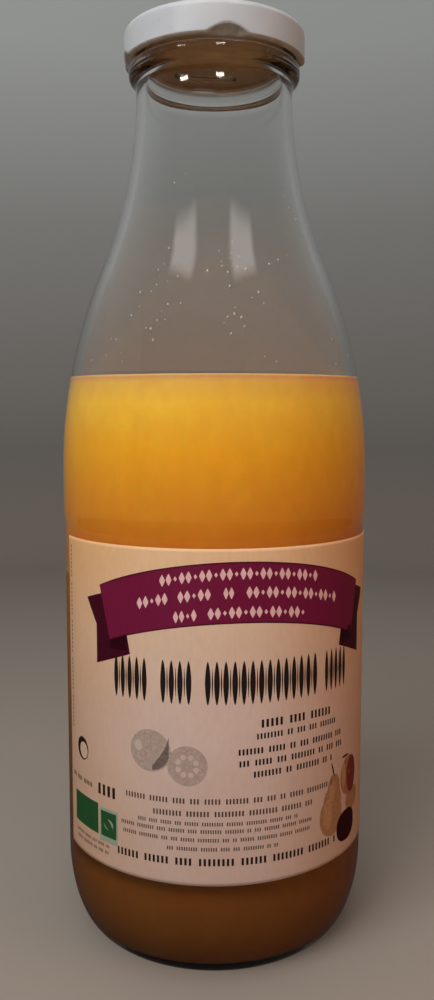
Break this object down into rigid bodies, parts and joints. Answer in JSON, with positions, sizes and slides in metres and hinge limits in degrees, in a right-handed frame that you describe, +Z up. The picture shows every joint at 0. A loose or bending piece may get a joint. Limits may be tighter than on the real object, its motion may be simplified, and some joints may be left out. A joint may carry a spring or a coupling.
{
  "type": "bottle of orange juice",
  "caption": "Clear glass juice bottle with sloping shoulders, partly filled with orange juice, closed by a white metal twist-off cap and wrapped by a paper label.",
  "frame": {"origin": "middle of the base, on the surface the bottle stands on", "axes": "+Z up along the bottle's axis to its cap; the middle of the label faces -Y"},
  "size_m": [0.0878, 0.0878, 0.2559],
  "materials": {
    "glass": "gloss",
    "juice": "gloss",
    "cap": "gloss",
    "label": "satin"
  },
  "bodies": {
    "root": {"bottle": "glass", "juice": "juice", "cap": "cap", "label": "label"}
  },
  "joints": []
}
